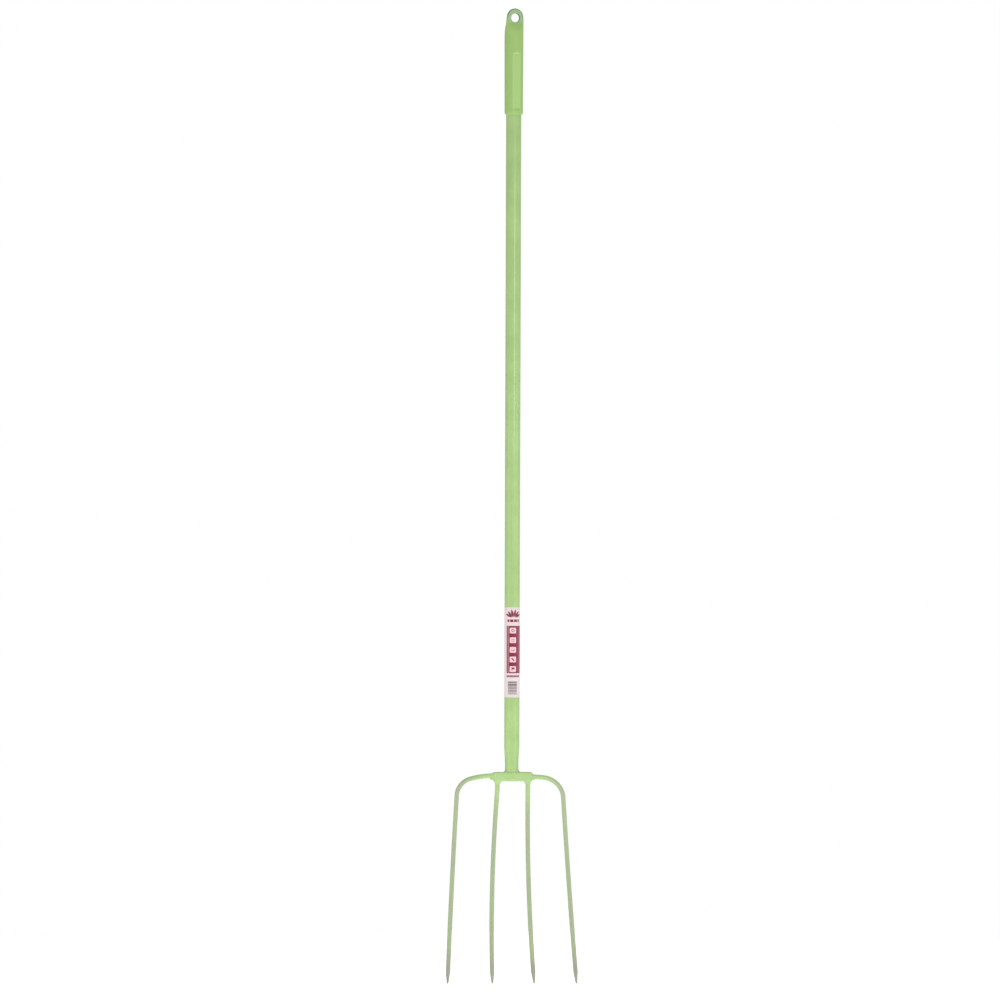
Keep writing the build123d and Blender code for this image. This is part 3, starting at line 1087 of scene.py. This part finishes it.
@dataclass(frozen=True)
class Label:
    """The film wrapped round the tube, with rounded corners and an open strip at the back."""

    tube_radius: float = 12.0
    thickness: float = 0.15
    wrap: float = 300.0
    twist: float = 6.0
    corner: float = 3.0
    print_from: float = -11.8
    print_to: float = 11.8
    print_step: float = 0.36
    plain_columns: int = 14
    row_step: float = 0.42
    worn_edge: float = 9.0

    def columns(self, half_width: float) -> Points:
        """Places across the film, close together where it is printed.

        Args:
            half_width: Half the film's width.

        Returns:
            The places, from left to right, as shares of half the width.
        """
        printed = np.arange(self.print_from, self.print_to, self.print_step)
        left = np.linspace(-half_width, self.print_from, self.plain_columns, endpoint=False)
        right = np.linspace(half_width, self.print_to, self.plain_columns, endpoint=False)[::-1]
        return np.concatenate([left, printed, right]) / half_width

    def build(self, finish: PrintedFilm, printing: LabelPrint) -> None:
        """Builds the film: an outer face and an inner face over one grid, which meet along its edge.

        A row is narrower by the quarter circle of its corners near each end. A place across is an arc on the tube,
        so its angle is the length divided by the radius.

        Args:
            finish: The film.
            printing: What is printed on it.
        """
        box = NodeBox.of("label")
        outer = self.tube_radius + self.thickness
        half_width = math.radians(self.wrap / 2.0) * outer
        height = np.arange(box.low[2], box.high[2], self.row_step)
        height = np.concatenate([[box.low[2]], height, [box.high[2], box.high[2]]])
        inset = np.minimum(height - box.low[2], box.high[2] - height)
        short = self.corner - np.clip(inset, 0.0, self.corner)
        row_half = half_width - self.corner + np.sqrt(self.corner**2 - short**2)
        across = self.columns(half_width)[None, :] * row_half[:, None]
        up = np.broadcast_to((height - box.middle[2])[:, None], across.shape)
        loop = np.concatenate([across, across[:, ::-1]], axis=1)
        level = np.concatenate([up, up[:, ::-1]], axis=1)
        thick = np.ones_like(loop)
        thick[:, across.shape[1] :] = 0.0
        edge_columns = [0, across.shape[1] - 1, across.shape[1], loop.shape[1] - 1]
        thick[:, edge_columns] = 0.5
        thick[[0, -1], :] = 0.5
        radius = self.tube_radius + self.thickness * thick
        angle = loop / outer + math.radians(self.twist)
        rings = np.stack([radius * np.sin(angle), -radius * np.cos(angle), level + box.middle[2]], axis=-1)
        attributes = printing.coverages(loop, level)
        nearest = np.minimum(box.high[2] - box.middle[2] - np.abs(level), half_width - np.abs(loop))
        attributes["edge"] = 1.0 - eased(0.0, self.worn_edge, nearest)
        film = skin("label_film_printed", rings + shaft_axis(), Ends.PINCHED, attributes)
        place_and_dress(film, finish.material(), ("label",))


# ---- The head ----


@dataclass
class CentreLine:
    """The centre line of a bent rod, grown piece by piece: its points and its headings."""

    start: Points
    heading: Points
    step: float = 1.6
    points: list[Points] = field(default_factory=list)
    headings: list[Points] = field(default_factory=list)

    def arc(self, end: Points) -> None:
        """Goes on to an end along the one arc that leaves in the present heading.

        The arc turns by twice the angle between the heading and the chord. Its radius is the chord over twice the
        sine of that angle. A point is the radius times the sine of the turn so far along the heading, and times one
        less its cosine towards the inside of the bend.

        Args:
            end: Where the arc ends.
        """
        chord = end - self.start
        length = float(np.linalg.norm(chord))
        inside = chord - chord.dot(self.heading) * self.heading
        lean = math.asin(min(1.0, float(np.linalg.norm(inside)) / length))
        count = max(3, math.ceil(length / self.step))
        share = np.linspace(0.0, 1.0, count + 1)[:, None]
        if lean < 1e-6:
            self.points.append((self.start + chord * share)[:-1])
            self.headings.append(np.repeat(self.heading[None, :], count, axis=0))
            self.start = end
            return
        inside = inside / np.linalg.norm(inside)
        radius = length / (2.0 * math.sin(lean))
        turn = 2.0 * lean * share
        places = self.start + radius * (np.sin(turn) * self.heading + (1.0 - np.cos(turn)) * inside)
        ways = np.cos(turn) * self.heading + np.sin(turn) * inside
        self.points.append(places[:-1])
        self.headings.append(ways[:-1])
        self.start, self.heading = places[-1], ways[-1]

    def straight(self, length: float) -> None:
        """Goes straight on for a length."""
        self.arc(self.start + self.heading * length)

    def bend(self, heading: Points, radius: float) -> None:
        """Turns to a new heading at a bend radius.

        Args:
            heading: The new heading, of length 1.
            radius: The bend's radius.
        """
        between = self.heading + heading
        turn = math.acos(float(np.clip(self.heading.dot(heading), -1.0, 1.0)))
        self.arc(self.start + between / np.linalg.norm(between) * 2.0 * radius * math.sin(turn / 2.0))

    def finished(self) -> tuple[Points, Points]:
        """All the points and all the headings, with the last of each."""
        return (
            np.vstack([*self.points, self.start[None, :]]),
            np.vstack([*self.headings, self.heading[None, :]]),
        )


@dataclass(frozen=True)
class Tine:
    """One bent and sharpened tine. Splay, across, lift, droop and shoulder are each tine's own."""

    side: Side
    splay: float
    across: float
    lift: float = 0.0
    droop: float = 0.0
    shoulder: float = 0.0
    radius: float = 3.6
    root_radius: float = 3.8
    drawn_length: float = 90.0
    forward: float = 29.0
    drop: float = 332.0
    lean: float = 14.0
    weld_rise: float = 7.0
    root_straight: float = 1.0
    root_bend: float = 40.0
    arm_straight: float = 9.0
    arm_bend: float = 123.0
    point_length: float = 20.0
    point_radius: float = 1.1
    point_fullness: float = 0.9
    lobe_radius: float = 7.0
    worn_length: float = 60.0
    worn: float = 0.53
    clean_length: float = 70.0
    soiled: float = 0.6
    soiled_point: float = 0.35
    unevenness: float = 0.008
    waver_length: float = 60.0
    oval_length: float = 35.0
    blunt_share: float = 0.12
    columns: int = 40

    @property
    def node(self) -> str:
        """The name of the CAD node."""
        place = "outer" if self.droop else "inner"
        return f"{place}_tine_{self.side.name.lower()}"

    def leaning(self) -> Points:
        """The heading below the root: out by the splay and back by the lean."""
        out, back = math.radians(self.splay), math.radians(self.lean)
        return np.array([
            self.side.value * math.sin(out) * math.cos(back), math.sin(back), -math.cos(out) * math.cos(back),
        ])

    def centre_line(self) -> tuple[Points, Points]:
        """The points and headings from the bar to the point.

        Returns:
            Two arrays of shape (count, 3).
        """
        bar = NodeBox.of("bridge_bar")
        axis = shaft_axis()
        end = bar.low if self.side is Side.LEFT else bar.high
        root = np.array([end[0] - self.side.value * self.lobe_radius, axis[1], bar.middle[2]])
        point = axis + np.array([self.side.value * self.across, -self.forward, bar.high[2] - self.drop])
        if self.droop:
            root[2] += self.lift
            line = CentreLine(root, np.array([self.side.value, 0.0, 0.0]))
            line.straight(self.arm_straight)
            droop = math.radians(self.droop)
            line.bend(np.array([self.side.value * math.cos(droop), 0.0, -math.sin(droop)]), self.arm_bend)
            line.bend(self.leaning(), self.shoulder)
        else:
            line = CentreLine(root, np.array([0.0, 0.0, -1.0]))
            line.straight(root[2] - bar.low[2] + self.weld_rise + self.root_straight)
            line.bend(self.leaning(), self.root_bend)
        line.arc(point)
        return line.finished()

    def build(self, paint: Material) -> None:
        """Builds the tine: a circle carried along the centre line, square to it.

        The circle's first direction is a fixed one less its part along the heading, and its second is square to both.
        The rod is drawn down a little from its root to its shank. Its radius wavers below its full size, and closes
        along the point.

        Args:
            paint: The head's paint.
        """
        points, headings = self.centre_line()
        travelled = np.concatenate([[0.0], np.linalg.norm(np.diff(points, axis=0), axis=1).cumsum()])
        left = travelled[-1] - travelled
        seed = int(self.across)
        drawn = self.root_radius + (self.radius - self.root_radius) * eased(0.0, self.drawn_length, travelled)
        radius = drawn * (1.0 + self.unevenness * (ripple(seed, travelled, self.waver_length) - 2.0))
        share = np.clip(left / self.point_length, 0.0, 1.0)
        closing = self.point_radius + (radius - self.point_radius) * share**self.point_fullness
        tip = np.sqrt(np.clip(1.0 - (1.0 - np.clip(left / self.point_radius, 0.0, 1.0)) ** 2, 0.0, 1.0))
        radius = closing * np.maximum(tip, self.blunt_share)
        fixed = np.array([0.0, 1.0, 0.0]) if self.droop else np.array([1.0, 0.0, 0.0])
        aside = fixed - headings @ fixed[:, None] * headings
        aside = aside / np.linalg.norm(aside, axis=1, keepdims=True)
        square = np.cross(headings, aside)
        angle = angles_round(self.columns)[None, :, None]
        oval = ripple(seed + 1, travelled, self.oval_length)[:, None, None]
        waver = 1.0 + self.unevenness * oval * np.cos(2.0 * angle)
        circle = np.cos(angle) * aside[:, None, :] + np.sin(angle) * square[:, None, :]
        rings = points[:, None, :] + radius[:, None, None] * waver * circle
        point_share = 1.0 - eased(0.0, self.worn_length, left)
        soil = self.soiled * eased(0.0, self.clean_length, travelled) + self.soiled_point * point_share
        tine = skin(f"{self.node}_bent", rings, attributes={
            "wear": np.broadcast_to(self.worn * point_share[:, None], rings.shape[:2]),
            "soil": np.broadcast_to(soil[:, None], rings.shape[:2]),
        })
        place_and_dress(tine, paint, (self.node,))


@dataclass(frozen=True)
class BridgeBar:
    """The bar that carries the tines: a boss under the tube and a lobe at each end, with well rounded edges."""

    boss_radius: float = 13.6
    lobe_radius: float = 7.0
    edge_radius: float = 2.6
    columns: int = 240
    edge_rows: int = 9
    face_shares: tuple[float, ...] = (0.15, 0.5, 0.8)

    def plan(self) -> tuple[Points, Points]:
        """The bar's outline from above, and its outward direction at each point.

        In each direction the outline is on whichever of the three circles reaches furthest, which makes their hull.
        The points are then spread evenly along it.

        Returns:
            Two arrays of shape (columns, 2), about the shaft's axis.
        """
        box, axis = NodeBox.of("bridge_bar"), shaft_axis()
        centres = np.array([
            box.low[0] - axis[0] + self.lobe_radius, 0.0, box.high[0] - axis[0] - self.lobe_radius,
        ])
        radii = np.array([self.lobe_radius, self.boss_radius, self.lobe_radius])
        angle = np.linspace(0.0, FULL_TURN, 20 * self.columns)
        out = np.stack([np.sin(angle), -np.cos(angle)], axis=-1)
        furthest = np.argmax(out[:, :1] * centres[None, :] + radii[None, :], axis=1)
        outline = radii[furthest][:, None] * out
        outline[:, 0] += centres[furthest]
        travelled = np.concatenate([[0.0], np.linalg.norm(np.diff(outline, axis=0), axis=1).cumsum()])
        even = np.linspace(0.0, travelled[-1], self.columns, endpoint=False)
        spread = [np.interp(even, travelled, values) for values in (*outline.T, *out.T)]
        normals = np.stack(spread[2:], axis=-1)
        return np.stack(spread[:2], axis=-1), normals / np.linalg.norm(normals, axis=1, keepdims=True)

    def build(self, paint: Material) -> None:
        """Builds the bar: the outline at each height, drawn in along a quarter circle at each edge.

        Args:
            paint: The head's paint.
        """
        box = NodeBox.of("bridge_bar")
        outline, normals = self.plan()
        quarter = np.linspace(0.0, math.pi / 2.0, self.edge_rows)
        inset = self.edge_radius * (1.0 - np.sin(quarter))
        drop = self.edge_radius * (1.0 - np.cos(quarter))
        inset = np.concatenate([inset, inset[::-1]])
        height = np.concatenate([box.high[2] - drop, box.low[2] + drop[::-1]])
        flat = outline[None, :, :] - normals[None, :, :] * inset[:, None, None]
        shares = np.array(self.face_shares)[:, None, None]
        flat = np.concatenate([flat[:1] * shares, flat, flat[-1:] * shares[::-1]])
        height = np.concatenate([
            np.full(len(self.face_shares), box.high[2]), height, np.full(len(self.face_shares), box.low[2]),
        ])
        rings = np.concatenate([flat, np.broadcast_to(height[:, None, None], (*flat.shape[:2], 1))], axis=2)
        bar = skin("bridge_bar_rounded", rings + shaft_axis())
        place_and_dress(bar, paint, ("bridge_bar",))


@dataclass(frozen=True)
class WeldBead:
    """A fillet weld round a rod or tube that stands on a wall, laid as a row of overlapping scales.

    Wide is the reach along the wall to +x and -x in the weld's own frame, and deep is the reach to +y and -y. Sink is
    how far behind the wall the weld starts at +x and -x. Wall radius is that of a wall that curves away along x.
    """

    node: str
    radius: float
    wide: tuple[float, float]
    deep: float
    rise: float
    sink: tuple[float, float] = (0.0, 0.0)
    wall_radius: float = 0.0
    narrowing: float = 4.0
    root: float = 3.0
    scale_pitch: float = 1.7
    scale_height: float = 0.16
    scale_slant: float = 0.7
    unevenness: float = 0.07
    crease: float = 60.0
    bite: float = 0.15
    columns: int = 144
    rows: int = 18

    def build(self, paint: Material, base: Points, outward: Points, sideways: Points) -> None:
        """Builds the bead.

        The section is a hollow quarter of an ellipse from the wall to the rod. Its reach changes smoothly round the
        rod, from wide to deep, and its face is raised in scales, one after another along the bead. Where the wall
        curves away, each point sinks with it: by the wall's radius less the root of its square less that of x.

        Args:
            paint: The head's paint.
            base: The middle of the joint, on the wall, in the row's frame.
            outward: The direction of the rod away from the wall.
            sideways: The weld's own x.
        """
        angle = angles_round(self.columns)
        across = np.sin(angle)
        share = np.abs(across) ** self.narrowing
        reach = self.deep + (np.where(across > 0.0, *self.wide) - self.deep) * share
        sink = np.where(across > 0.0, *self.sink) * share
        scales = np.round(FULL_TURN * self.radius * 1.25 / self.scale_pitch)
        crest = np.abs(np.sin(angle * scales / 2.0 + 0.4 * ripple(len(self.node), angle, math.pi)))
        quarter = np.linspace(0.0, math.pi / 2.0, self.rows)[:, None]
        stretch = 1.0 + self.unevenness * ripple(len(self.node) + 3, angle, FULL_TURN / 3.0)
        out = self.radius - self.bite + (reach + self.bite) * stretch * (1.0 - np.sin(quarter))
        up = (self.rise * stretch + sink) * (1.0 - np.cos(quarter)) - sink
        face = np.sin(2.0 * quarter)
        lift = self.scale_height * (crest[None, :] - 0.4) * face
        out, up = out + lift * self.scale_slant, up + lift * self.scale_slant
        if self.wall_radius:
            aside = np.clip(out * np.abs(across), 0.0, self.wall_radius)
            sag = self.wall_radius - np.sqrt(self.wall_radius**2 - aside**2)
            up = up - sag * np.cos(quarter)
        wall = np.stack([np.full(self.columns, 0.2 * self.radius), out[0] - 0.2])
        depth = np.broadcast_to(up[0].min() - self.root, (2, self.columns))
        top = np.zeros((1, self.columns))
        radius = np.vstack([wall, out, top + 0.3 * self.radius])
        height = np.vstack([depth, up, top + self.rise])
        rings = np.stack([radius * np.sin(angle), radius * np.cos(angle), height], axis=-1)
        basis = np.stack([sideways, np.cross(outward, sideways), outward])
        bead = skin(f"{self.node}_bead", rings @ basis + base, crease=self.crease)
        place_and_dress(bead, paint, (self.node,))


@dataclass(frozen=True)
class Head:
    """The welded head: the bar, two outer and two inner tines, and five welds."""

    bar: BridgeBar = BridgeBar()
    tines: tuple[Tine, ...] = (
        Tine(Side.LEFT, splay=2.1, across=102.6, lift=1.2, droop=16.0, shoulder=28.5),
        Tine(Side.LEFT, splay=3.1, across=31.9),
        Tine(Side.RIGHT, splay=0.7, across=34.0),
        Tine(Side.RIGHT, splay=5.0, across=100.9, lift=-0.5, droop=8.0, shoulder=35.5),
    )
    neck_radius: float = 10.7
    # The outer side of an inner tine's weld climbs to the arm, and its inner side stops at the bar.
    root_wide: tuple[float, float] = (8.1, 5.7)
    root_sink: tuple[float, float] = (3.4, 0.0)

    def build(self, paint: Material) -> None:
        """Builds the whole head.

        Args:
            paint: The head's paint.
        """
        self.bar.build(paint)
        for tine in self.tines:
            tine.build(paint)
        box, axis = NodeBox.of("bridge_bar"), shaft_axis()
        right, back, up = np.identity(3)
        neck = WeldBead("neck_weld", self.neck_radius, wide=(3.5, 2.3), deep=1.5, rise=6.0)
        neck.build(paint, axis + up * box.high[2], up, right)
        for tine in self.tines:
            side = tine.side
            end = box.low[0] if side is Side.LEFT else box.high[0]
            if tine.droop:
                arm = WeldBead(
                    f"{tine.node}_weld", tine.root_radius, wide=(1.8, 1.8), deep=2.0, rise=5.0,
                    wall_radius=self.bar.lobe_radius,
                )
                joint = np.array([end, axis[1], box.middle[2] + tine.lift])
                arm.build(paint, joint, right * side.value, back)
                continue
            lobe = end - side.value * self.bar.lobe_radius
            facing = slice(None, None, side.value)
            root = WeldBead(
                f"{tine.node}_weld", tine.root_radius, wide=self.root_wide[facing], sink=self.root_sink[facing],
                deep=1.6, rise=7.0,
            )
            root.build(paint, np.array([lobe, axis[1], box.low[2]]), -up, right)


# ---- The studio ----


@dataclass(frozen=True)
class SoftBox:
    """An area light that faces the shaft's axis at a height of its own."""

    name: str
    azimuth: float
    elevation: float
    height_m: float
    distance_m: float
    width_m: float
    tall_m: float
    watts: float

    def build(self, axis: Vector) -> None:
        """Places the light round the shaft's axis.

        Args:
            axis: Where the axis crosses height 0.
        """
        data = bpy.data.lights.new(self.name, "AREA")
        data.shape = "RECTANGLE"
        data.size, data.size_y = self.width_m, self.tall_m
        data.energy = self.watts
        light = bpy.data.objects.new(self.name, data)
        turn, rise = math.radians(self.azimuth), math.radians(self.elevation)
        back = Vector((math.sin(turn) * math.cos(rise), -math.cos(turn) * math.cos(rise), math.sin(rise)))
        light.location = axis + Vector((0.0, 0.0, self.height_m)) + back * self.distance_m
        light.rotation_euler = (-back).to_track_quat("-Z", "Y").to_euler()
        bpy.context.scene.collection.objects.link(light)


@dataclass(frozen=True)
class Studio:
    """A white floor, an even white surround, soft lights and the camera."""

    floor_radius: float = 1.6
    floor_gap: float = 0.0002
    floor_columns: int = 128
    surround: float = 0.56
    view_azimuth: float = -5.0
    view_roll: float = 0.18
    view_width: float = 1.575
    view_height: float = -0.7592
    view_left: float = 0.0197
    lens: float = 300.0
    sensor: float = 36.0

    def floor(self, finish: OpalAcrylic) -> None:
        """Lays a round floor at the tips: rings of growing radius about the shaft, with a thin rim.

        Args:
            finish: The sheet.
        """
        level = cad_bounds[0].z - self.floor_gap
        radius = self.floor_radius / MM * np.array([0.02, 0.1, 0.3, 0.6, 0.98, 1.0, 1.0, 0.98, 0.02])
        height = level / MM - np.array([0.0, 0.0, 0.0, 0.0, 0.0, 1.0, 9.0, 10.0, 10.0])
        floor = skin("studio_floor", rings_around(radius, height, self.floor_columns))
        floor.data.materials.append(finish.material())

    def surround_light(self) -> None:
        """Makes the world an even white, which lights the tool less brightly than it looks."""
        world = bpy.data.worlds.new("white_surround")
        bpy.context.scene.world = world
        world.use_nodes = True
        tree = world.node_tree
        tree.nodes.clear()
        seen = add(tree, "ShaderNodeBackground", {"Color": linear("#ffffff"), "Strength": 1.0})
        lighting = add(tree, "ShaderNodeBackground", {"Color": linear("#ffffff"), "Strength": self.surround})
        ray = add(tree, "ShaderNodeLightPath")
        mixed = add(tree, "ShaderNodeMixShader", {
            0: ray.outputs["Is Camera Ray"], 1: lighting.outputs["Background"], 2: seen.outputs["Background"],
        })
        add(tree, "ShaderNodeOutputWorld", {"Surface": mixed.outputs["Shader"]})

    def camera(self) -> None:
        """Sets up the camera: level with the tool's middle, a little to the left, with a long lens."""
        turn = math.radians(self.view_azimuth)
        back = Vector((math.sin(turn), -math.cos(turn), 0.0))
        right = Vector((math.cos(turn), math.sin(turn), 0.0))
        axis = Vector(shaft_axis() * MM)
        target = Vector((axis.x, axis.y, self.view_height)) - right * self.view_left
        data = bpy.data.cameras.new("camera")
        data.lens, data.sensor_width = self.lens, self.sensor
        distance = self.view_width * self.lens / self.sensor
        data.clip_end = distance * 10.0
        camera = bpy.data.objects.new("camera", data)
        camera.location = target + back * distance
        facing = (-back).to_track_quat("-Z", "Y").to_matrix().to_4x4()
        roll = Matrix.Rotation(math.radians(self.view_roll), 4, "Z")
        camera.rotation_euler = (facing @ roll).to_euler()
        bpy.context.scene.collection.objects.link(camera)
        bpy.context.scene.camera = camera

    def build(self) -> None:
        """Builds the whole studio."""
        self.floor(OpalAcrylic("Opal acrylic sheet"))
        self.surround_light()
        lights = (
            SoftBox("left_softbox", azimuth=-62.0, elevation=4.0, height_m=-1.15, distance_m=1.5,
                    width_m=1.2, tall_m=1.0, watts=3.9),
            SoftBox("right_softbox", azimuth=56.0, elevation=4.0, height_m=-1.15, distance_m=1.5,
                    width_m=1.2, tall_m=1.0, watts=3.9),
            SoftBox("strip_light", azimuth=17.0, elevation=0.0, height_m=-0.44, distance_m=1.5,
                    width_m=0.08, tall_m=0.56, watts=3.6),
            SoftBox("top_light", azimuth=-20.0, elevation=70.0, height_m=-0.1, distance_m=1.6,
                    width_m=0.8, tall_m=0.8, watts=2.5),
        )
        for light in lights:
            light.build(Vector(shaft_axis() * MM))
        self.camera()
        bpy.context.scene.view_settings.view_transform = "Standard"


def main() -> None:
    """Builds the studio, the grip, the shaft, the label and the head, and dresses what is carried over."""
    logging.basicConfig(level=logging.INFO, format="%(name)s: %(message)s")
    Studio().build()
    HandGrip().build(MouldedPolypropylene("Moulded polypropylene"))
    shaft_paint = PowderCoatedSteel(
        "Powder-coated steel, shaft", colour="#b0d188", thin_colour="#a5c77d",
    ).material()
    ShaftTube().build(shaft_paint)
    Label().build(PrintedFilm("Printed and laminated film"), LabelPrint())
    Head().build(PowderCoatedSteel("Powder-coated steel, head").material())
    tang = frame["nodes"]["tang"]
    tang.data.materials.clear()
    tang.data.materials.append(DrawnSteel("Cold-drawn mild steel").material())
    LOG.info("tang: kept as it is, %s", tang.data.materials[0].name)


if __name__ == "__main__":
    main()
